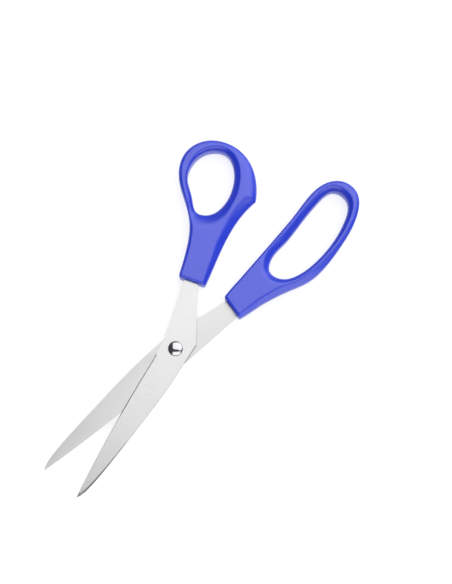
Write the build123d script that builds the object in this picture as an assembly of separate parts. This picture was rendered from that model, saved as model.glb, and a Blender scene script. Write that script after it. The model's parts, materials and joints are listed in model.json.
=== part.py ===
from build123d import *
import os
from math import atan2, degrees

# Right-handed office scissors of the eight-inch class, lying flat and a little open.
# Two stamped steel blades turn on one rivet. Each blade runs on into a flat tang, and a plastic
# handle is moulded round the tang: a round loop for the thumb and a long loop for the fingers.
#
# Both halves are drawn as they stand when the scissors are closed: the pivot axis is Z, the blade
# tips point along +X, and Z = 0 is the plane between the two blades. The thumb half lies on top,
# its cutting edge faces -Y, and it swings about +Z to open.

# ---- Driving dimensions: millimetres and degrees ----
REST_OPENING = 13.9          # angle between the two blades as the part is stored
PIVOT = (17.1, 24.2, 4.5)    # the pivot, from the bottom centre of the open scissors

BLADE_THICKNESS = 1.6
BLADE_GAP = 0.06             # running gap between the blades' inner faces
EDGE_BEVEL = 0.6             # width of the sharpened bevel, seen from above
SPINE_BEVEL_ANGLE = 50.0     # from vertical, along the back of the point
HOLLOW_DEPTH = 0.12          # the inner face is ground hollow, so that only the edges rub
HOLLOW_TIP_DEPTH = 0.005
HOLLOW_RADIUS = 130.0
ANCHOR_RADIUS = 1.75         # holes in the tang that the plastic flows through

HANDLE_THICKNESS = 9.0
OUTER_ROUNDING = 1.2         # along the outside of a handle
LOOP_ROUNDING = 1.6          # round the inside of a loop, for comfort
CORNER_ROUNDING = 1.2        # the two corners where the blade enters
STOP_ROUNDING = 1.0          # the corner that meets the other handle when closed

SHANK_RADIUS = 2.0           # the rivet's shank, tight in the finger blade
SHANK_CLEARANCE = 0.05       # round the shank in the thumb blade
HEAD_RADIUS = 3.75
HEAD_RIM = 0.3               # straight side under the dome
HEAD_HEIGHT = 1.5
HEAD_GAP = 0.04              # running gap under the head
WASHER_RADIUS = 3.6
WASHER_THICKNESS = 0.5
TAIL_RADIUS = 2.9
TAIL_HEIGHT = 0.8

INNER_FACE = BLADE_GAP / 2
OUTER_FACE = INNER_FACE + BLADE_THICKNESS

# ---- Blade outline, the same for both blades beyond the pivot ----
TIP = (88.0, -0.4)
SPINE = [(14.0, 7.8), (46.0, 6.05), (62.0, 4.75), (74.0, 3.5), (82.0, 2.25), (86.5, 0.85), TIP]
EDGE_MIDDLE = (46.0, -4.6)
EDGE_HEEL = (8.6, -6.5)      # the sharpened edge runs from here to the tip
# The inner border of the bevel along the spine, from nothing at mid-blade to 1 mm at the point.
SPINE_BEVEL = [(44.0, 6.35), (54.0, 5.22), (62.0, 4.42), (74.0, 2.92), (82.0, 1.42), (87.3, -0.6)]
HOLLOW_START = EDGE_HEEL[0] + 3
CUTTER_MARGIN = 6.0          # how far the grinding cutters reach past the blade

# Each tang's outline, from the heel of the edge round to the start of the spine.
THUMB_TANG = [(-0.9, -7.4), (-31.5, -15.5), (-54.5, -22.6), (-57.5, -16.2), (-32.5, -7.9), (-7.4, 7.5)]
THUMB_ANCHORS = [(-41.0, -14.7), (-50.5, -17.6)]
FINGER_TANG = [(1.5, 8.3), (-34.0, 9.0), (-53.5, 9.6), (-54.0, 1.4), (-34.0, -0.9), (1.0, -7.7)]
FINGER_ANCHORS = [(-41.5, 4.2), (-48.5, 4.8)]
TANG_END_X = -53.0           # the tangs' two far corners lie beyond this
TANG_END_ROUNDING = 2.5

# ---- Handle outlines. The first and last points are the corners where the blade enters ----
ENTRY_X = -40.0              # those corners lie ahead of this
THUMB_OUTER_SIDE = [
    (-31.2, -18.6), (-45.0, -23.1), (-57.0, -29.0), (-65.5, -37.1), (-73.0, -45.7), (-80.0, -50.1),
    (-88.0, -51.2), (-97.0, -47.1), (-103.0, -36.0), (-102.8, -26.0), (-98.6, -17.4), (-92.0, -11.1),
    (-85.4, -7.4),
]
THUMB_INNER_SIDE = [(-85.4, -7.4), (-73.0, -9.6), (-57.0, -8.7), (-34.5, -5.0)]
THUMB_HOLE = [
    (-64.4, -28.0), (-67.8, -22.6), (-76.0, -19.9), (-85.0, -21.2), (-93.5, -26.0),
    (-97.8, -33.3), (-94.5, -41.2), (-86.0, -45.1), (-76.5, -43.0), (-69.2, -35.4),
]
FINGER_INNER_SIDE = [(-35.4, -2.3), (-84.0, -7.9)]
FINGER_OUTER_SIDE = [
    (-84.0, -7.9), (-100.0, -10.6), (-114.0, -10.0), (-121.2, -3.7), (-121.8, 4.2), (-112.5, 13.4),
    (-98.0, 18.3), (-84.0, 20.8), (-74.0, 20.8), (-60.0, 16.4), (-47.0, 12.9), (-33.7, 10.6),
]
FINGER_END_DIRECTION = (1, -0.19)
FINGER_HOLE = [
    (-61.2, 5.8), (-64.6, 11.8), (-72.0, 15.0), (-82.0, 15.9), (-95.0, 14.4), (-107.5, 10.2),
    (-115.2, 3.4), (-113.6, -4.2), (-104.0, -5.8), (-90.0, -3.9), (-77.0, -1.9), (-66.0, -0.4),
]


def turned_over(points):
    """The same points for a blade that lies the other way up."""
    return [(x, -y) for x, y in points]


def edge_cutter():
    """What the grinder takes off along the cutting edge: a strip whose wall leans over the blade."""
    ahead = TIP[0] + CUTTER_MARGIN
    below = EDGE_HEEL[1] - CUTTER_MARGIN
    around = Polyline(EDGE_HEEL, (EDGE_HEEL[0], below), (ahead, below), (ahead, 0), TIP)
    strip = make_face(Curve() + [ThreePointArc(TIP, EDGE_MIDDLE, EDGE_HEEL), around])
    lean = degrees(atan2(EDGE_BEVEL, BLADE_THICKNESS))
    return extrude(strip, BLADE_THICKNESS, taper=-lean)


def spine_cutter():
    """The bevel along the back of the point, from nothing at mid-blade to its full width at the tip."""
    border = Spline(SPINE_BEVEL)
    start, end = SPINE_BEVEL[0], SPINE_BEVEL[-1]
    ahead = TIP[0] + CUTTER_MARGIN
    above = SPINE[0][1] + CUTTER_MARGIN
    around = Polyline(end, (ahead, end[1] - CUTTER_MARGIN / 2), (ahead, above), (start[0], above), start)
    strip = Pos(0, 0, BLADE_THICKNESS) * make_face(Curve() + [border, around])
    return extrude(strip, BLADE_THICKNESS, dir=(0, 0, -1), taper=SPINE_BEVEL_ANGLE)


def hollow_cutter():
    """The big wheel that leaves the inner face hollow near the pivot and all but flat at the tip."""
    run = TIP[0] - HOLLOW_START
    wheel = Cylinder(HOLLOW_RADIUS, run + CUTTER_MARGIN, align=(Align.CENTER, Align.CENTER, Align.MIN))
    fade = degrees(atan2(HOLLOW_DEPTH - HOLLOW_TIP_DEPTH, run))
    return Pos(HOLLOW_START, 0, HOLLOW_DEPTH - HOLLOW_RADIUS) * Rot(0, 90 + fade, 0) * wheel


def blade(tang, anchors, pivot_hole_radius, lies_under):
    """One blade with its tang, ground on both sides, in its place in the closed scissors."""
    side = turned_over if lies_under else list
    outline = Curve() + [
        ThreePointArc(TIP, EDGE_MIDDLE, EDGE_HEEL),
        Polyline(EDGE_HEEL, *side(tang), SPINE[0]),
        Spline(SPINE, tangents=[(1, 0), (0.3, -1)]),
    ]
    blank = extrude(make_face(outline), BLADE_THICKNESS)
    tang_end = [edge for edge in blank.edges().filter_by(Axis.Z) if edge.center().X < TANG_END_X]
    blank = fillet(tang_end, TANG_END_ROUNDING)
    blank -= [edge_cutter(), spine_cutter(), hollow_cutter()]
    drill_length = 4 * BLADE_THICKNESS
    blank -= Cylinder(pivot_hole_radius, drill_length)
    blank -= [Pos(x, y) * Cylinder(ANCHOR_RADIUS, drill_length) for x, y in side(anchors)]
    placed = Pos(0, 0, INNER_FACE) * blank
    return Rot(180, 0, 0) * placed if lies_under else placed


def handle(sides, hole, tang, stop=None):
    """One moulded handle: its outline with the loop through it, rounded, and shaped round its tang."""
    entry = Line(sides[-1] @ 1, sides[0] @ 0)
    body = extrude(make_face(Curve() + [*sides, entry]), HANDLE_THICKNESS / 2, both=True)
    entry_corners = [edge for edge in body.edges().filter_by(Axis.Z) if edge.center().X > ENTRY_X]
    body = fillet(entry_corners, CORNER_ROUNDING)
    if stop:
        at_stop = body.edges().filter_by(Axis.Z).sort_by_distance((*stop, 0))[0]
        body = fillet(at_stop, STOP_ROUNDING)
    rims = body.faces().filter_by(Axis.Z).sort_by(SortBy.AREA)[-2:].edges()
    body = fillet(rims, OUTER_ROUNDING)
    body -= extrude(make_face(Spline(hole, periodic=True)), HANDLE_THICKNESS, both=True)
    loop_rims = body.faces().filter_by(Axis.Z).edges().filter_by(lambda edge: edge.is_closed)
    body = fillet(loop_rims, LOOP_ROUNDING)
    return body - tang


def rivet():
    """A domed head, a shank through both blades, and a tail spread over the washer."""
    head_under = OUTER_FACE + HEAD_GAP
    head_top = head_under + HEAD_HEIGHT
    rim = head_under + HEAD_RIM
    tail_under = -OUTER_FACE - WASHER_THICKNESS
    tail_end = tail_under - TAIL_HEIGHT
    flat_radius = TAIL_RADIUS - TAIL_HEIGHT
    dome_rise = head_top - rim
    dome_radius = (HEAD_RADIUS**2 + dome_rise**2) / (2 * dome_rise)
    half_way = HEAD_RADIUS / 2
    dome_at_half = head_top - dome_radius + (dome_radius**2 - half_way**2) ** 0.5
    profile = Curve() + [
        Line((0, tail_end), (flat_radius, tail_end)),
        RadiusArc((flat_radius, tail_end), (TAIL_RADIUS, tail_under), -TAIL_HEIGHT),
        Polyline(
            (TAIL_RADIUS, tail_under), (SHANK_RADIUS, tail_under), (SHANK_RADIUS, head_under),
            (HEAD_RADIUS, head_under), (HEAD_RADIUS, rim),
        ),
        ThreePointArc((HEAD_RADIUS, rim), (half_way, dome_at_half), (0, head_top)),
        Line((0, head_top), (0, tail_end)),
    ]
    return revolve(Plane.XZ * make_face(profile), Axis.Z)


def washer():
    """The flat ring that keeps the tail off the finger blade."""
    ring = Circle(WASHER_RADIUS) - Circle(SHANK_RADIUS)
    return Pos(0, 0, -OUTER_FACE - WASHER_THICKNESS) * extrude(ring, WASHER_THICKNESS)


def main():
    thumb_blade = blade(THUMB_TANG, THUMB_ANCHORS, SHANK_RADIUS + SHANK_CLEARANCE, lies_under=False)
    finger_blade = blade(FINGER_TANG, FINGER_ANCHORS, SHANK_RADIUS, lies_under=True)
    thumb_sides = [Spline(THUMB_OUTER_SIDE), Spline(THUMB_INNER_SIDE)]
    straight = Line(FINGER_INNER_SIDE)
    finger_sides = [straight, Spline(FINGER_OUTER_SIDE, tangents=[straight % 1, FINGER_END_DIRECTION])]
    resting = Pos(*PIVOT)
    opened = resting * Rot(0, 0, REST_OPENING)
    pieces = {
        "thumb_blade": opened * thumb_blade,
        "thumb_handle": opened * handle(thumb_sides, THUMB_HOLE, thumb_blade, THUMB_INNER_SIDE[0]),
        "finger_blade": resting * finger_blade,
        "finger_handle": resting * handle(finger_sides, FINGER_HOLE, finger_blade),
        "pivot_rivet": resting * rivet(),
        "rivet_washer": resting * washer(),
    }
    os.makedirs("parts", exist_ok=True)
    for name, shape in pieces.items():
        export_step(shape, f"parts/{name}.step")


if __name__ == "__main__":
    main()
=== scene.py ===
import json
import math

import bmesh
import bpy
import numpy as np
from mathutils import Matrix, Vector
from mathutils.geometry import delaunay_2d_cdt


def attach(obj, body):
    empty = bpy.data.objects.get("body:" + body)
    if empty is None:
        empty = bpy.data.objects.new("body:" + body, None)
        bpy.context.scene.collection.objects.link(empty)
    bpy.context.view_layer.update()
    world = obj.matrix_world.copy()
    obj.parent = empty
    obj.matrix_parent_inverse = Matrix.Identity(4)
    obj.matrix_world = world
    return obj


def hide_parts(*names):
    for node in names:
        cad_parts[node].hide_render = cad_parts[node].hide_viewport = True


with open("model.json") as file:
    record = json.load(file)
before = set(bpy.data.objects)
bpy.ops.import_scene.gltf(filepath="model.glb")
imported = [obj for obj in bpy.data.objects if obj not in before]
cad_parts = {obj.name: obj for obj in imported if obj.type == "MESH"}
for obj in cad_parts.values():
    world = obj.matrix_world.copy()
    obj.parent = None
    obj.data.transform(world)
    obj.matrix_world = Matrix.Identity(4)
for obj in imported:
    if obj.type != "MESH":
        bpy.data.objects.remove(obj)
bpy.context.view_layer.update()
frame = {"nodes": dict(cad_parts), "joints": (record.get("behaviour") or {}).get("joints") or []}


# ---- The two blades ----
# Each is one stamping of 1.6 mm stainless sheet, blade and tang together. The faces are satin
# brushed, the inner face is ground slightly hollow, and the edge has a narrow ground bevel. The
# finger blade lies underneath, turned over, and both tangs run on into their handles.

MM = 0.001
PIVOT = Vector(frame["joints"][0]["pos_m"])
THUMB_TURN = math.radians(13.9)      # how far the thumb half stands open
SHEET = 1.6 * MM
RUNNING_GAP = 0.03 * MM              # from the plane between the blades to each inner face
CORNER_BREAK = 0.03 * MM             # the faintly broken corners of the outer face
HOLLOW_DEPTH = 0.12 * MM
HOLLOW_START = 8 * MM                # ahead of the pivot, where the hollow grinding begins
HOLLOW_FULL = 14 * MM
POINT_WIDTH = 0.1 * MM               # the steel is never narrower than this, even at the very point
POINT_LENGTH = 5 * MM
CORNER_ANGLE = 22                    # degrees; a sharper bend than this stays a crisp edge
THUMB_HOLE_RADIUS = 2.05 * MM        # turns freely on the rivet
FINGER_HOLE_RADIUS = 2.0 * MM        # tight on the rivet


def level_outlines(node, height):
    """The closed outlines of a CAD node cut level at a height, longest first, as rows of x, y."""
    cut_mesh = bmesh.new()
    cut_mesh.from_mesh(frame["nodes"][node].data)
    bmesh.ops.remove_doubles(cut_mesh, verts=cut_mesh.verts, dist=1e-7)
    everything = cut_mesh.verts[:] + cut_mesh.edges[:] + cut_mesh.faces[:]
    cut = bmesh.ops.bisect_plane(
        cut_mesh, geom=everything, dist=1e-7, plane_co=(0, 0, height), plane_no=(0, 0, 1)
    )["geom_cut"]
    neighbours = {}
    for edge in (part for part in cut if isinstance(part, bmesh.types.BMEdge)):
        for one, other in (edge.verts, reversed(edge.verts)):
            neighbours.setdefault(one, []).append(other)
    outlines = []
    while neighbours:
        corner = next(iter(neighbours))
        outline = []
        while corner is not None:
            outline.append((corner.co.x, corner.co.y))
            beside = neighbours.pop(corner)
            corner = next((other for other in beside if other in neighbours), None)
        outlines.append(np.array(outline))
    cut_mesh.free()
    return sorted(outlines, key=lambda o: -np.linalg.norm(np.roll(o, 1, 0) - o, axis=1).sum())


def turned(points, angle, mirrored=False):
    """Rows of x, y from the row's frame to a half's own frame, whose origin is the pivot."""
    x, y = points[:, 0] - PIVOT.x, points[:, 1] - PIVOT.y
    along = x * math.cos(angle) + y * math.sin(angle)
    aside = y * math.cos(angle) - x * math.sin(angle)
    return np.column_stack([along, -aside if mirrored else aside])


def width_at(outline, x):
    """The lowest and highest y where a closed outline crosses x, or its last point beyond its end."""
    start, end = outline, np.roll(outline, -1, 0)
    crosses = (start[:, 0] - x) * (end[:, 0] - x) <= 0
    if not crosses.any():
        last = outline[outline[:, 0].argmax(), 1]
        return last, last
    start, end = start[crosses], end[crosses]
    run = end[:, 0] - start[:, 0]
    share = np.where(np.abs(run) > 1e-12, (x - start[:, 0]) / np.where(run == 0, 1, run), 0.5)
    y = start[:, 1] + share * (end[:, 1] - start[:, 1])
    return y.min(), y.max()


def finished_piece(name, mesh_builder, sharp_angle, material, body, node):
    """A piece from a bmesh, smooth but for its corners, which rides on a body and replaces its CAD node."""
    mesh = bpy.data.meshes.new(name)
    bmesh.ops.recalc_face_normals(mesh_builder, faces=mesh_builder.faces)
    mesh_builder.to_mesh(mesh)
    mesh_builder.free()
    mesh.shade_smooth()
    mesh.set_sharp_from_angle(angle=math.radians(sharp_angle))
    mesh.materials.append(material)
    piece = bpy.data.objects.new(name, mesh)
    bpy.context.scene.collection.objects.link(piece)
    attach(piece, body)
    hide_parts(node)
    return piece


def blade_builder(node, angle, turned_over):
    """Sections across a blade every half millimetre, closer together at the point."""
    facing = -1 if turned_over else 1
    depths = SHEET * np.array([0.02, 0.15, 0.3, 0.45, 0.6, 0.72, 0.82, 0.9, 0.98])
    outlines = [
        turned(level_outlines(node, PIVOT.z + facing * (RUNNING_GAP + depth))[0], angle, turned_over)
        for depth in depths
    ]
    ends = [outline[:, 0].max() for outline in outlines]
    back, tip = outlines[0][:, 0].min(), ends[0]
    stations = list(np.arange(back + 0.2 * MM, tip - POINT_LENGTH, 0.5 * MM))
    stations += [tip - POINT_LENGTH * (1 - share) ** 2 for share in np.linspace(0, 0.98, 26)]
    across = np.linspace(0, 1, 13)
    builder = bmesh.new()
    rings = []
    for x in stations:
        height = np.interp(x, [ends[-1] - 0.3 * MM, tip], [1, 0.25])
        sides = np.array([width_at(outline, min(x, end)) for outline, end in zip(outlines, ends)])
        middle = sides.mean(1)
        half_width = np.maximum(sides[:, 1] - sides[:, 0], POINT_WIDTH) / 2
        low, high = middle - half_width, middle + half_width
        soft = min(CORNER_BREAK, (high[-1] - low[-1]) / 4)
        fade = np.interp(x, [HOLLOW_START, HOLLOW_FULL, tip], [0, 1, 0.1])
        section = []
        for share in across:
            hollow = HOLLOW_DEPTH * fade * (1 - (2 * share - 1) ** 2)
            section.append((low[0] + share * (high[0] - low[0]), hollow * height))
        section += [(high[k], depths[k]) for k in range(1, len(depths) - 1)]
        section += [(high[-1], SHEET - soft), (high[-1] - soft * 0.3, SHEET - soft * 0.3)]
        flat = high[-1] - low[-1] - 2 * soft
        section += [(low[-1] + soft + share * flat, SHEET) for share in across[::-1]]
        section += [(low[-1] + soft * 0.3, SHEET - soft * 0.3), (low[-1], SHEET - soft)]
        section += [(low[k], depths[k]) for k in range(len(depths) - 2, 0, -1)]
        ring = []
        for y, depth in section:
            own_y = -y if turned_over else y
            place = Vector((x, own_y, facing * (RUNNING_GAP + depth * height)))
            ring.append(builder.verts.new(Matrix.Rotation(angle, 3, "Z") @ place + PIVOT))
        rings.append(ring)
    # The faces of the spine-side wall are marked here to take a painted dark reflection in the steel
    # material.
    spine_faces = range(len(across), len(across) + len(depths) + 1)
    dark_wall_layer = builder.faces.layers.float.new("painted_dark_wall")
    for before, after in zip(rings, rings[1:]):
        for k in range(len(before)):
            face = builder.faces.new((before[k - 1], before[k], after[k], after[k - 1]))
            face[dark_wall_layer] = 1.0 if k in spine_faces else 0.0
    builder.faces.new(rings[0])
    builder.faces.new(rings[-1])
    return builder


def drilled(piece, radius):
    """Cuts the rivet's hole through a blade."""
    drill = bmesh.new()
    bmesh.ops.create_cone(
        drill, cap_ends=True, segments=64, radius1=radius, radius2=radius, depth=6 * SHEET,
        matrix=Matrix.Translation(PIVOT),
    )
    drill_mesh = bpy.data.meshes.new("drill")
    drill.to_mesh(drill_mesh)
    drill.free()
    drill_object = bpy.data.objects.new("drill", drill_mesh)
    bpy.context.scene.collection.objects.link(drill_object)
    cut = piece.modifiers.new("rivet_hole", "BOOLEAN")
    cut.operation = "DIFFERENCE"
    cut.solver = "EXACT"
    cut.object = drill_object
    bpy.context.view_layer.update()
    cut_mesh = bpy.data.meshes.new_from_object(piece.evaluated_get(bpy.context.evaluated_depsgraph_get()))
    piece.modifiers.clear()
    piece.data = cut_mesh
    piece.data.set_sharp_from_angle(angle=math.radians(CORNER_ANGLE))
    bpy.data.objects.remove(drill_object)


def new_material(name):
    """An empty node material, and its nodes, links and principled shader."""
    material = bpy.data.materials.new(name)
    material.use_nodes = True
    nodes, links = material.node_tree.nodes, material.node_tree.links
    return material, nodes, links, nodes["Principled BSDF"]


def brushed_steel(name, angle, tone_low, tone_high, gloss_low, gloss_high):
    """Satin stainless steel, ground across the blade, with a painted dark reflection: dark grey on the
    spine-side wall.
    """
    material, nodes, links, shader = new_material(name)
    shader.inputs["Metallic"].default_value = 1.0
    place = nodes.new("ShaderNodeTexCoord")
    own = nodes.new("ShaderNodeMapping")
    own.inputs["Rotation"].default_value = (0, 0, -angle)
    links.new(place.outputs["Object"], own.inputs["Vector"])

    def stretched_noise(stretch_xyz, scale, detail, low, high):
        stretch = nodes.new("ShaderNodeMapping")
        stretch.inputs["Scale"].default_value = stretch_xyz
        links.new(own.outputs["Vector"], stretch.inputs["Vector"])
        noise = nodes.new("ShaderNodeTexNoise")
        noise.inputs["Scale"].default_value = scale
        noise.inputs["Detail"].default_value = detail
        links.new(stretch.outputs["Vector"], noise.inputs["Vector"])
        reach = nodes.new("ShaderNodeMapRange")
        reach.inputs["From Min"].default_value = 0.28
        reach.inputs["From Max"].default_value = 0.72
        reach.inputs["To Min"].default_value = low
        reach.inputs["To Max"].default_value = high
        links.new(noise.outputs["Fac"], reach.inputs["Value"])
        return reach.outputs["Result"]

    grinding_lines = stretched_noise((1, 0.04, 1), 3200, 4, 0, 1)
    long_scratches = stretched_noise((0.015, 1, 1), 2200, 2, 0, 1)
    clouds = stretched_noise((0.5, 1, 1), 70, 3, 0, 1)
    # The mask of the spine-side wall faces, which take the painted dark reflection.
    painted_dark_wall = nodes.new("ShaderNodeAttribute")
    painted_dark_wall.attribute_name = "painted_dark_wall"

    tone = nodes.new("ShaderNodeValToRGB")
    tone.color_ramp.elements[0].color = (tone_low, tone_low, tone_low, 1)
    tone.color_ramp.elements[1].color = (tone_high, tone_high, tone_high, 1)
    shade = nodes.new("ShaderNodeMath")
    shade.operation = "MULTIPLY_ADD"
    shade.inputs[1].default_value = 0.45
    links.new(grinding_lines, shade.inputs[0])
    part_cloud = nodes.new("ShaderNodeMath")
    part_cloud.operation = "MULTIPLY"
    part_cloud.inputs[1].default_value = 0.55
    links.new(clouds, part_cloud.inputs[0])
    links.new(part_cloud.outputs[0], shade.inputs[2])
    links.new(shade.outputs[0], tone.inputs["Fac"])
    # Painted dark reflection: the spine-side wall is coloured dark grey in place of the dark surroundings
    # it would reflect.
    painted_wall_shade = nodes.new("ShaderNodeMix")
    painted_wall_shade.data_type = "RGBA"
    painted_wall_shade.inputs["B"].default_value = (0.2, 0.2, 0.205, 1)
    links.new(painted_dark_wall.outputs["Fac"], painted_wall_shade.inputs["Factor"])
    links.new(tone.outputs["Color"], painted_wall_shade.inputs["A"])
    links.new(painted_wall_shade.outputs["Result"], shader.inputs["Base Color"])

    gloss = nodes.new("ShaderNodeMapRange")
    gloss.inputs["To Min"].default_value = gloss_low
    gloss.inputs["To Max"].default_value = gloss_high
    links.new(grinding_lines, gloss.inputs["Value"])
    links.new(gloss.outputs["Result"], shader.inputs["Roughness"])

    both = nodes.new("ShaderNodeMath")
    both.operation = "MULTIPLY_ADD"
    both.inputs[1].default_value = 0.3
    links.new(long_scratches, both.inputs[0])
    links.new(grinding_lines, both.inputs[2])
    scratch = nodes.new("ShaderNodeBump")
    scratch.inputs["Strength"].default_value = 0.08
    scratch.inputs["Distance"].default_value = 0.000004
    links.new(both.outputs[0], scratch.inputs["Height"])
    links.new(scratch.outputs["Normal"], shader.inputs["Normal"])
    return material


thumb_blade = finished_piece(
    "thumb_blade_steel", blade_builder("thumb_blade", THUMB_TURN, False), CORNER_ANGLE,
    brushed_steel("thumb_blade_brushed", THUMB_TURN, 0.43, 0.46, 0.22, 0.28),
    "thumb_half", "thumb_blade",
)
drilled(thumb_blade, THUMB_HOLE_RADIUS)
# The finger blade's steel is a lighter copy of the thumb blade's, 0.45 to 0.5 against 0.43 to 0.46: painted
# light, brightening the lower blade.
finger_blade = finished_piece(
    "finger_blade_steel", blade_builder("finger_blade", 0.0, True), CORNER_ANGLE,
    brushed_steel("finger_blade_brushed", 0.0, 0.45, 0.5, 0.3, 0.36),
    "finger_half", "finger_blade",
)
drilled(finger_blade, FINGER_HOLE_RADIUS)


# ---- The rivet and its washer ----
# The rivet is cold headed from steel wire: a low domed head, polished bright, and a shank that is
# peened over a thin plated washer at the back. It is tight in the finger blade.

HEAD_RADIUS = 3.75 * MM
HEAD_UNDER = PIVOT.z + 1.67 * MM
HEAD_RIM = 0.3 * MM
DOME_RISE = 1.2 * MM
SHANK_RADIUS = 2.0 * MM
WASHER_TOP = PIVOT.z - RUNNING_GAP - SHEET
WASHER_UNDER = WASHER_TOP - 0.5 * MM
TAIL_RADIUS = 2.9 * MM
TAIL_HEIGHT = 0.8 * MM
RIM_ROUNDING = 0.12 * MM


def lathed(profile, segments):
    """A bmesh turned about the pivot's axis from rows of radius, height."""
    builder = bmesh.new()
    chain = [builder.verts.new((PIVOT.x + radius, PIVOT.y, height)) for radius, height in profile]
    edges = [builder.edges.new(pair) for pair in zip(chain, chain[1:])]
    bmesh.ops.spin(
        builder, geom=chain + edges, cent=PIVOT, axis=(0, 0, 1), angle=math.tau, steps=segments,
        use_merge=True,
    )
    bmesh.ops.remove_doubles(builder, verts=builder.verts, dist=1e-6)
    return builder


dome_radius = (HEAD_RADIUS**2 + DOME_RISE**2) / (2 * DOME_RISE)
dome_reach = math.asin(HEAD_RADIUS / dome_radius)
dome_centre = HEAD_UNDER + HEAD_RIM + DOME_RISE - dome_radius
rivet_profile = [
    (dome_radius * math.sin(turn), dome_centre + dome_radius * math.cos(turn))
    for turn in np.linspace(0, dome_reach * 0.965, 18)
]
for turn in np.linspace(0.3, 1, 5) * math.pi / 2:
    rivet_profile.append((
        HEAD_RADIUS - RIM_ROUNDING * (1 - math.sin(turn)),
        HEAD_UNDER + HEAD_RIM + 0.02 * MM - RIM_ROUNDING * (1 - math.cos(turn)),
    ))
rivet_profile += [(HEAD_RADIUS, HEAD_UNDER + 0.05 * MM), (HEAD_RADIUS - 0.05 * MM, HEAD_UNDER)]
rivet_profile += [(SHANK_RADIUS, HEAD_UNDER), (SHANK_RADIUS, WASHER_UNDER), (TAIL_RADIUS, WASHER_UNDER)]
for turn in np.linspace(0.05, 1, 8) * math.pi / 2:
    rivet_profile.append((
        TAIL_RADIUS - TAIL_HEIGHT * (1 - math.cos(turn)),
        WASHER_UNDER - TAIL_HEIGHT * math.sin(turn) * 0.98,
    ))
# the peening tool leaves a shallow dimple in the middle of the tail
for radius, dip in ((1.7, 0.02), (1.3, 0.06), (0.9, 0.2), (0.5, 0.3), (0.0, 0.33)):
    rivet_profile.append((radius * MM, WASHER_UNDER - TAIL_HEIGHT * 0.98 + dip * MM))

polished, nodes, links, shader = new_material("polished_rivet_steel")
shader.inputs["Base Color"].default_value = (0.45, 0.45, 0.46, 1)
shader.inputs["Metallic"].default_value = 1.0
place = nodes.new("ShaderNodeTexCoord")
grain = nodes.new("ShaderNodeTexNoise")
grain.inputs["Scale"].default_value = 2500
grain.inputs["Detail"].default_value = 4
links.new(place.outputs["Object"], grain.inputs["Vector"])
haze = nodes.new("ShaderNodeMapRange")
haze.inputs["To Min"].default_value = 0.1
haze.inputs["To Max"].default_value = 0.2
links.new(grain.outputs["Fac"], haze.inputs["Value"])
links.new(haze.outputs["Result"], shader.inputs["Roughness"])
tiny_dents = nodes.new("ShaderNodeBump")
tiny_dents.inputs["Strength"].default_value = 0.1
tiny_dents.inputs["Distance"].default_value = 0.00001
links.new(grain.outputs["Fac"], tiny_dents.inputs["Height"])
links.new(tiny_dents.outputs["Normal"], shader.inputs["Normal"])

finished_piece(
    "domed_rivet", lathed(rivet_profile, 96), 35, polished, "finger_half", "pivot_rivet"
)

WASHER_RADIUS = 3.6 * MM
WASHER_EDGE = 0.12 * MM
washer_profile = [
    (SHANK_RADIUS, WASHER_TOP), (WASHER_RADIUS - WASHER_EDGE, WASHER_TOP),
    (WASHER_RADIUS, WASHER_TOP - WASHER_EDGE), (WASHER_RADIUS, WASHER_UNDER + WASHER_EDGE),
    (WASHER_RADIUS - WASHER_EDGE, WASHER_UNDER), (SHANK_RADIUS, WASHER_UNDER),
    (SHANK_RADIUS, WASHER_TOP),
]
plated, nodes, links, shader = new_material("plated_washer_steel")
shader.inputs["Base Color"].default_value = (0.62, 0.62, 0.6, 1)
shader.inputs["Metallic"].default_value = 1.0
place = nodes.new("ShaderNodeTexCoord")
turning = nodes.new("ShaderNodeTexNoise")
turning.inputs["Scale"].default_value = 1500
turning.inputs["Detail"].default_value = 5
links.new(place.outputs["Object"], turning.inputs["Vector"])
dulled = nodes.new("ShaderNodeMapRange")
dulled.inputs["To Min"].default_value = 0.3
dulled.inputs["To Max"].default_value = 0.5
links.new(turning.outputs["Fac"], dulled.inputs["Value"])
links.new(dulled.outputs["Result"], shader.inputs["Roughness"])
finished_piece(
    "plain_washer", lathed(washer_profile, 72), 35, plated, "finger_half", "rivet_washer"
)


# ---- The thumb handle ----
# Injection moulded plastic, 9 mm thick, moulded straight onto the tang. The shank is flat topped,
# its outer edges are rounded, and the loop's inner edge is opened out for the thumb, with a scoop
# at the blade end. A fine parting line runs round the middle of the wall.

HALF_HEIGHT = 4.5 * MM
LEAST_HEIGHT = 0.3 * MM              # of each face above the middle, where the rounding is deepest
OUTLINE_LEVEL = PIVOT.z - 2.4 * MM   # clear of the tangs and of the solid's own roundings
OUTLINE_SPACING = 0.75 * MM
PARTING_LINE = 0.04 * MM             # how far the seam between the mould halves stands out
PARTING_HALF = 0.15 * MM             # half the width of that seam
EDGE_DEPTHS = [0.0, 0.03, 0.1, 0.2, 0.33, 0.48, 0.66, 0.86]   # millimetres in from the outer edge
LOOP_DEPTHS = EDGE_DEPTHS + [1.1, 1.4]
CORNER_BLEND = 0.9 * MM              # the directions across an edge turn gradually round its corners
GRID = 0.5 * MM
GRID_CLEARANCE = 0.3                 # millimetres from the innermost row to the grid
CREASE = 0.28                        # how softly a chamfer begins
UNDER_SHARE = 0.55                   # the loop is opened out less underneath than on top


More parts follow.
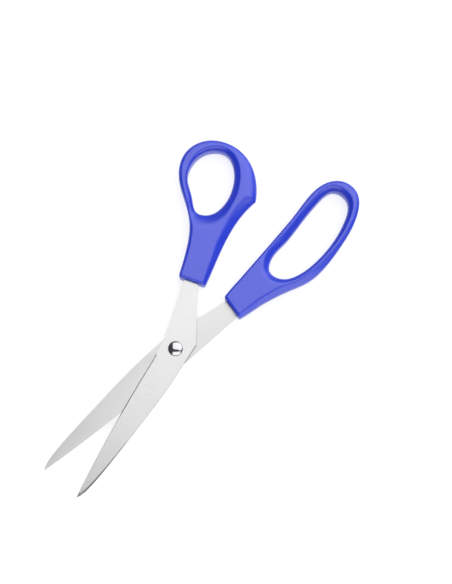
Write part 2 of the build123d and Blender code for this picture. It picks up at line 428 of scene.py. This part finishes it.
def fine_outline(corners, spacing):
    """A smooth closed curve through an outline's points, anticlockwise, with more points where it turns."""
    area = (corners[:, 0] * np.roll(corners[:, 1], -1) - corners[:, 1] * np.roll(corners[:, 0], -1)).sum()
    p1 = corners if area > 0 else corners[::-1]
    p0, p2, p3 = np.roll(p1, 1, 0), np.roll(p1, -1, 0), np.roll(p1, -2, 0)
    gap1, gap2, gap3 = (np.linalg.norm(b - a, axis=1)[:, None] for a, b in ((p0, p1), (p1, p2), (p2, p3)))
    slope1 = ((p1 - p0) * gap2 / gap1 + (p2 - p1) * gap1 / gap2) / (gap1 + gap2)
    slope2 = ((p2 - p1) * gap3 / gap2 + (p3 - p2) * gap2 / gap3) / (gap2 + gap3)
    pieces = []
    for t in np.arange(0, 1, 0.05):
        curve = (2 * t**3 - 3 * t**2 + 1) * p1 + (t**3 - 2 * t**2 + t) * gap2 * slope1
        pieces.append(curve + (3 * t**2 - 2 * t**3) * p2 + (t**3 - t**2) * gap2 * slope2)
    dense = np.stack(pieces, 1).reshape(-1, 2)
    ahead = np.roll(dense, -1, 0) - dense
    heading = np.unwrap(np.arctan2(ahead[:, 1], ahead[:, 0]))
    turning = np.abs(np.diff(heading, append=heading[0] + math.tau))
    effort = np.linalg.norm(ahead, axis=1) + 2.5 * MM * turning
    travelled = np.concatenate([[0], np.cumsum(effort)])
    stops = np.linspace(0, travelled[-1], int(travelled[-1] / spacing), endpoint=False)
    closed = np.vstack([dense, dense[:1]])
    curve = np.column_stack([np.interp(stops, travelled, closed[:, k]) for k in (0, 1)])
    along = np.roll(curve, -1, 0) - np.roll(curve, 1, 0)
    apart = np.linalg.norm(curve[:, None] - curve[None], axis=2)
    outward = np.exp(-((apart / CORNER_BLEND) ** 2)) @ np.column_stack([along[:, 1], -along[:, 0]])
    return curve, outward / np.linalg.norm(outward, axis=1)[:, None]


def carried_round(outline, marks):
    """Values given at marked places along a closed outline, eased from each mark to the next."""
    marks = np.array(marks, float)
    nearest = np.array([np.linalg.norm(outline - mark[:2] * MM, axis=1).argmin() for mark in marks])
    order = np.argsort(nearest)
    count = len(outline)
    at = np.concatenate([[nearest[order[-1]] - count], nearest[order], [nearest[order[0]] + count]])
    values = np.vstack([marks[order[-1:], 2:], marks[order, 2:], marks[order[:1], 2:]])
    stations = np.arange(count)
    before = np.searchsorted(at, stations, "right") - 1
    share = (stations - at[before]) / np.maximum(at[before + 1] - at[before], 1)
    share = (share * share * (3 - 2 * share))[:, None]
    return values[before] * (1 - share) + values[before + 1] * share


def sunk_near(points, outline, values):
    """How far the surface has dropped at some points because of the rounding along one outline."""
    away = np.linalg.norm(points[:, None] - outline[None], axis=2)
    pull = 1 / (away / MM + 0.02) ** 6
    width, drop, straight = (pull @ values / pull.sum(1)[:, None]).T
    inward = np.clip(1 - away.min(1) / (width * MM), 0, 1)
    chamfer = (np.sqrt(inward**2 + CREASE**2) - CREASE) / (math.sqrt(1 + CREASE**2) - CREASE)
    return drop * MM * ((1 - straight) * (1 - np.sqrt(1 - inward**2)) + straight * chamfer)


def within(points, outline):
    """Which points lie inside a closed outline."""
    start, end = outline, np.roll(outline, -1, 0)
    x, y = points[:, 0, None], points[:, 1, None]
    straddled = (start[:, 1] > y) != (end[:, 1] > y)
    rise = np.where(start[:, 1] == end[:, 1], 1, end[:, 1] - start[:, 1])
    reached = start[:, 0] + (y - start[:, 1]) / rise * (end[:, 0] - start[:, 0])
    return (straddled & (x < reached)).sum(1) % 2 == 1


def handle_builder(node, angle, edge_marks, loop_marks):
    """The handle's two faces, modelled as depths over its plan, and the wall between them."""
    outer, inner = level_outlines(node, OUTLINE_LEVEL)[:2]
    edge, edge_out = fine_outline(turned(outer, angle), OUTLINE_SPACING)
    loop, loop_in = fine_outline(turned(inner, angle), OUTLINE_SPACING)
    edge_rows = [edge - edge_out * depth * MM for depth in EDGE_DEPTHS]
    loop_rows = [loop + loop_in * depth * MM for depth in LOOP_DEPTHS]
    edge_values, loop_values = carried_round(edge, edge_marks), carried_round(loop, loop_marks)

    low, high = edge.min(0), edge.max(0)
    grid_y = np.arange(low[1], high[1], GRID * math.sqrt(0.75))
    rows = []
    for k, y in enumerate(grid_y):
        grid_x = np.arange(low[0] + (k % 2) * GRID / 2, high[0], GRID)
        rows.append(np.column_stack([grid_x, np.full(len(grid_x), y)]))
    grid = np.vstack(rows)
    grid = grid[within(grid, edge) & ~within(grid, loop)]
    to_edge = np.linalg.norm(grid[:, None] - edge[None], axis=2).min(1)
    to_loop = np.linalg.norm(grid[:, None] - loop[None], axis=2).min(1)
    clear_of_edge = to_edge > (EDGE_DEPTHS[-1] + GRID_CLEARANCE) * MM
    clear_of_loop = to_loop > (LOOP_DEPTHS[-1] + GRID_CLEARANCE) * MM
    grid = grid[clear_of_edge & clear_of_loop]

    rim, throat = edge_rows[-1], loop_rows[-1]
    plan = np.vstack([rim, throat, grid])
    borders = [(k, (k + 1) % len(rim)) for k in range(len(rim))]
    borders += [(len(rim) + k, len(rim) + (k + 1) % len(throat)) for k in range(len(throat))]
    plan_points = [Vector(point) for point in plan / MM]
    filled, _, triangles = delaunay_2d_cdt(plan_points, borders, [], 0, 1e-5)[:3]
    filled = np.array([point[:] for point in filled]) * MM
    centres = filled[np.array(triangles)].mean(1)
    in_rim = within(centres, filled[: len(rim)])
    in_throat = within(centres, filled[len(rim) : len(rim) + len(throat)])
    kept = np.array(triangles)[in_rim & ~in_throat]

    builder = bmesh.new()
    turn_back = Matrix.Rotation(angle, 3, "Z")

    def placed(points, heights):
        return [builder.verts.new(turn_back @ Vector((*p, z)) + PIVOT) for p, z in zip(points, heights)]

    def banded(rows):
        for row, following in zip(rows, rows[1:]):
            for i in range(len(row)):
                builder.faces.new((row[i - 1], row[i], following[i], following[i - 1]))

    walls = []
    for side in (1, -1):
        def surface(points):
            opened = loop_values * (1, 1 if side > 0 else UNDER_SHARE, 1)
            sunk = sunk_near(points, edge, edge_values) + sunk_near(points, loop, opened)
            return side * np.maximum(HALF_HEIGHT - sunk, LEAST_HEIGHT)

        middle = placed(filled, surface(filled))
        for triangle in kept:
            builder.faces.new([middle[i] for i in triangle])
        edge_band = [placed(row, surface(row)) for row in edge_rows[:-1]] + [middle[: len(rim)]]
        loop_band = [placed(row, surface(row)) for row in loop_rows[:-1]]
        loop_band += [middle[len(rim) : len(rim) + len(throat)]]
        banded(edge_band)
        banded(loop_band)
        beside_seam = placed(edge, np.full(len(edge), side * PARTING_HALF))
        banded([beside_seam, edge_band[0]])
        walls.append((beside_seam, loop_band[0]))
    seam = placed(edge + edge_out * PARTING_LINE, np.zeros(len(edge)))
    banded([walls[0][0], seam, walls[1][0]])
    loop_seam = placed(loop - loop_in * PARTING_LINE, np.zeros(len(loop)))
    banded([walls[0][1], loop_seam, walls[1][1]])
    return builder


def moulded_plastic(name):
    """Glossy blue plastic with a moulding's faint orange peel and cloudiness, and a few fine scuffs."""
    material, nodes, links, shader = new_material(name)
    place = nodes.new("ShaderNodeTexCoord")
    clouds = nodes.new("ShaderNodeTexNoise")
    clouds.inputs["Scale"].default_value = 60
    clouds.inputs["Detail"].default_value = 3
    links.new(place.outputs["Object"], clouds.inputs["Vector"])
    tone = nodes.new("ShaderNodeValToRGB")
    tone.color_ramp.elements[0].position = 0.3
    tone.color_ramp.elements[0].color = (0.006, 0.030, 0.56, 1)
    tone.color_ramp.elements[1].position = 0.7
    tone.color_ramp.elements[1].color = (0.008, 0.036, 0.62, 1)
    links.new(clouds.outputs["Fac"], tone.inputs["Fac"])
    links.new(tone.outputs["Color"], shader.inputs["Base Color"])
    peel = nodes.new("ShaderNodeTexNoise")
    peel.inputs["Scale"].default_value = 1400
    peel.inputs["Detail"].default_value = 4
    links.new(place.outputs["Object"], peel.inputs["Vector"])
    gloss = nodes.new("ShaderNodeMapRange")
    gloss.inputs["To Min"].default_value = 0.26
    gloss.inputs["To Max"].default_value = 0.34
    links.new(peel.outputs["Fac"], gloss.inputs["Value"])
    stretch = nodes.new("ShaderNodeMapping")
    stretch.inputs["Rotation"].default_value = (0, 0, 0.5)
    stretch.inputs["Scale"].default_value = (0.12, 1, 1)
    links.new(place.outputs["Object"], stretch.inputs["Vector"])
    scuffs = nodes.new("ShaderNodeTexNoise")
    scuffs.inputs["Scale"].default_value = 900
    scuffs.inputs["Detail"].default_value = 2
    links.new(stretch.outputs["Vector"], scuffs.inputs["Vector"])
    scuffed = nodes.new("ShaderNodeMapRange")
    scuffed.inputs["From Min"].default_value = 0.62
    scuffed.inputs["From Max"].default_value = 0.72
    scuffed.inputs["To Max"].default_value = 0.14
    links.new(scuffs.outputs["Fac"], scuffed.inputs["Value"])
    dulled_skin = nodes.new("ShaderNodeMath")
    links.new(gloss.outputs["Result"], dulled_skin.inputs[0])
    links.new(scuffed.outputs["Result"], dulled_skin.inputs[1])
    links.new(dulled_skin.outputs[0], shader.inputs["Roughness"])
    bump = nodes.new("ShaderNodeBump")
    bump.inputs["Strength"].default_value = 0.12
    bump.inputs["Distance"].default_value = 0.00004
    links.new(peel.outputs["Fac"], bump.inputs["Height"])
    links.new(bump.outputs["Normal"], shader.inputs["Normal"])
    shader.inputs["IOR"].default_value = 1.75
    return material


# The rounding of the outer edge. Each mark is a place by the outline, x and y in millimetres from the
# pivot, then the rounding's width and depth there, and how much of it is a straight chamfer.
THUMB_EDGE_MARKS = [
    (-31.5, -15, 1.1, 0.9, 0.2), (-32.5, -19.2, 1.5, 1.4, 0), (-45, -23, 1.9, 1.9, 0.1),
    (-57, -29, 1.9, 1.9, 0.1), (-65, -37, 1.7, 1.6, 0), (-80, -50, 2.0, 1.9, 0),
    (-97, -47, 2.6, 2.4, 0), (-103, -33, 2.8, 2.4, 0), (-100, -20, 3.8, 2.8, 0.2),
    (-92, -11, 6.0, 3.7, 0.3), (-86.5, -7.6, 6.0, 3.7, 0.4), (-84, -7.4, 5.4, 3.6, 0.6),
    (-73, -9.6, 5.4, 3.5, 0.7), (-57, -8.7, 4.6, 3.3, 0.8), (-45, -7, 3.4, 2.4, 0.8),
    (-36, -5.2, 2.4, 1.7, 0.8), (-32, -6.5, 1.2, 1.0, 0.2),
]
# The same round the loop.
THUMB_LOOP_MARKS = [
    (-64.4, -28, 9.0, 4.15, 0.6), (-66, -24.5, 8.5, 4.15, 0.6), (-70, -21.4, 6.0, 4.0, 0.5),
    (-78, -19.9, 4.2, 3.7, 0.4), (-93, -26, 3.6, 3.6, 0.3), (-98, -34, 3.0, 3.2, 0.2),
    (-94, -41, 2.4, 2.8, 0.1), (-80, -44.5, 1.8, 2.4, 0), (-69, -35.4, 3.4, 3.2, 0.3),
]
PLASTIC_CORNER_ANGLE = 60
finished_piece(
    "thumb_handle_plastic",
    handle_builder("thumb_handle", THUMB_TURN, THUMB_EDGE_MARKS, THUMB_LOOP_MARKS), PLASTIC_CORNER_ANGLE,
    moulded_plastic("thumb_handle_blue"), "thumb_half", "thumb_handle",
)


# ---- The finger handle ----
# The same moulded plastic on the finger blade's tang, with a long loop for two or three fingers.
# Its straight side meets the thumb handle when the blades close.

FINGER_EDGE_MARKS = [
    (-34.3, 4, 1.2, 1.1, 0.2), (-36.5, -2.5, 1.5, 1.4, 0), (-60, -5.3, 1.4, 1.4, 0),
    (-84, -7.9, 1.5, 1.4, 0), (-100, -10.6, 1.8, 1.7, 0), (-114, -10, 2.2, 2.0, 0),
    (-121.8, 0, 3.0, 2.4, 0.1), (-112.5, 13.4, 3.2, 1.9, 0.3), (-98, 18.3, 3.0, 1.3, 0.7),
    (-84, 20.8, 3.4, 1.5, 0.9), (-74, 20.8, 3.5, 1.55, 0.95), (-60, 16.4, 3.4, 1.5, 0.95),
    (-47, 12.9, 3.0, 1.35, 0.95), (-36, 11.0, 2.2, 1.0, 0.9), (-34, 9.5, 1.2, 1.0, 0.2),
]
FINGER_LOOP_MARKS = [
    (-60, 6, 4.6, 3.8, 0.4), (-64.6, 11.8, 3.4, 3.4, 0.3), (-82, 15.9, 2.2, 2.9, 0.1),
    (-107.5, 10.2, 3.0, 3.5, 0.2), (-115.5, 1, 3.2, 3.4, 0.2), (-104, -5.8, 3.4, 3.6, 0.3),
    (-85, -3, 4.0, 4.0, 0.5), (-70, -1.2, 4.0, 4.0, 0.5),
]
finished_piece(
    "finger_handle_plastic",
    handle_builder("finger_handle", 0.0, FINGER_EDGE_MARKS, FINGER_LOOP_MARKS), PLASTIC_CORNER_ANGLE,
    moulded_plastic("finger_handle_blue"), "finger_half", "finger_handle",
)


# ---- Floor, light and camera ----
# A pale table in a dim room, under one large soft light beyond the handles and a smaller one in front.
# The camera looks down from the blades' side, 11 degrees off square.

FLOOR_HALF_SIZE = 3.0
FLOOR_DROP = 0.2 * MM
floor_mesh = bpy.data.meshes.new("table_top")
floor_builder = bmesh.new()
bmesh.ops.create_grid(floor_builder, x_segments=8, y_segments=8, size=FLOOR_HALF_SIZE)
floor_builder.to_mesh(floor_mesh)
floor_builder.free()
table_top = bpy.data.objects.new("table_top", floor_mesh)
table_top.location = (0, 0, -FLOOR_DROP)
bpy.context.scene.collection.objects.link(table_top)
white, nodes, links, shader = new_material("white_table")
shader.inputs["Base Color"].default_value = (0.35, 0.35, 0.35, 1)
shader.inputs["Roughness"].default_value = 0.9
shader.inputs["Specular IOR Level"].default_value = 0.0
shader.inputs["Emission Color"].default_value = (1, 1, 1, 1)
shader.inputs["Emission Strength"].default_value = 0.75
floor_mesh.materials.append(white)

room = bpy.data.worlds.new("dim_room")
room.use_nodes = True
nodes, links = room.node_tree.nodes, room.node_tree.links
place = nodes.new("ShaderNodeTexCoord")
height = nodes.new("ShaderNodeSeparateXYZ")
links.new(place.outputs["Generated"], height.inputs["Vector"])
walls = nodes.new("ShaderNodeValToRGB")
walls.color_ramp.elements[0].position = 0.0
walls.color_ramp.elements[0].color = (0.6, 0.6, 0.61, 1)
walls.color_ramp.elements[1].position = 0.4
walls.color_ramp.elements[1].color = (0.1, 0.1, 0.105, 1)
lower_wall = walls.color_ramp.elements.new(0.15)
lower_wall.color = (0.42, 0.42, 0.43, 1)
links.new(height.outputs["Z"], walls.inputs["Fac"])
links.new(walls.outputs["Color"], nodes["Background"].inputs["Color"])
bpy.context.scene.world = room

VIEW_ROLL = math.radians(136.94)     # the finger blade's direction, clockwise from the view's right
VIEW_TILT = math.radians(11)
VIEW_DISTANCE = 0.811
PIVOT_LEFT, PIVOT_BELOW = 0.02525, 0.02855   # the pivot's place from the middle of the view

right = Vector((math.cos(VIEW_ROLL), math.sin(VIEW_ROLL), 0))
up_flat = Vector((-math.sin(VIEW_ROLL), math.cos(VIEW_ROLL), 0))
up = up_flat * math.cos(VIEW_TILT) + Vector((0, 0, math.sin(VIEW_TILT)))
back = Vector((0, 0, math.cos(VIEW_TILT))) - up_flat * math.sin(VIEW_TILT)
camera_data = bpy.data.cameras.new("camera")
camera_data.sensor_fit = "VERTICAL"
camera_data.sensor_height = 36
camera_data.lens = 100
camera = bpy.data.objects.new("camera", camera_data)
turn = Matrix((right, up, back)).transposed().to_4x4()
camera.matrix_world = Matrix.Translation(
    PIVOT + right * PIVOT_LEFT + up * PIVOT_BELOW + back * VIEW_DISTANCE
) @ turn
bpy.context.scene.collection.objects.link(camera)
bpy.context.scene.camera = camera


def softbox(name, tilt, sideways, width, height, distance, brightness):
    """A rectangular soft light, tilted from overhead towards the handles, then to the right."""
    tilt, sideways = math.radians(tilt), math.radians(sideways)
    raised = up_flat * math.sin(tilt) + Vector((0, 0, math.cos(tilt)))
    towards = raised * math.cos(sideways) + right * math.sin(sideways)
    across = right * math.cos(sideways) - raised * math.sin(sideways)
    lamp = bpy.data.lights.new(name, "AREA")
    lamp.shape = "RECTANGLE"
    lamp.size = width
    lamp.size_y = height
    lamp.energy = brightness * math.pi * width * height
    light = bpy.data.objects.new(name, lamp)
    axes = Matrix((across, towards.cross(across), towards)).transposed().to_4x4()
    light.matrix_world = Matrix.Translation(towards * distance) @ axes
    light.visible_camera = False
    bpy.context.scene.collection.objects.link(light)


softbox("key_softbox", 31, 19, 3.3, 2.5, 1.9, 2.0)
softbox("front_softbox", -43, 10, 2.6, 1.18, 1.9, 2.0)
bpy.context.scene.view_settings.view_transform = "Standard"
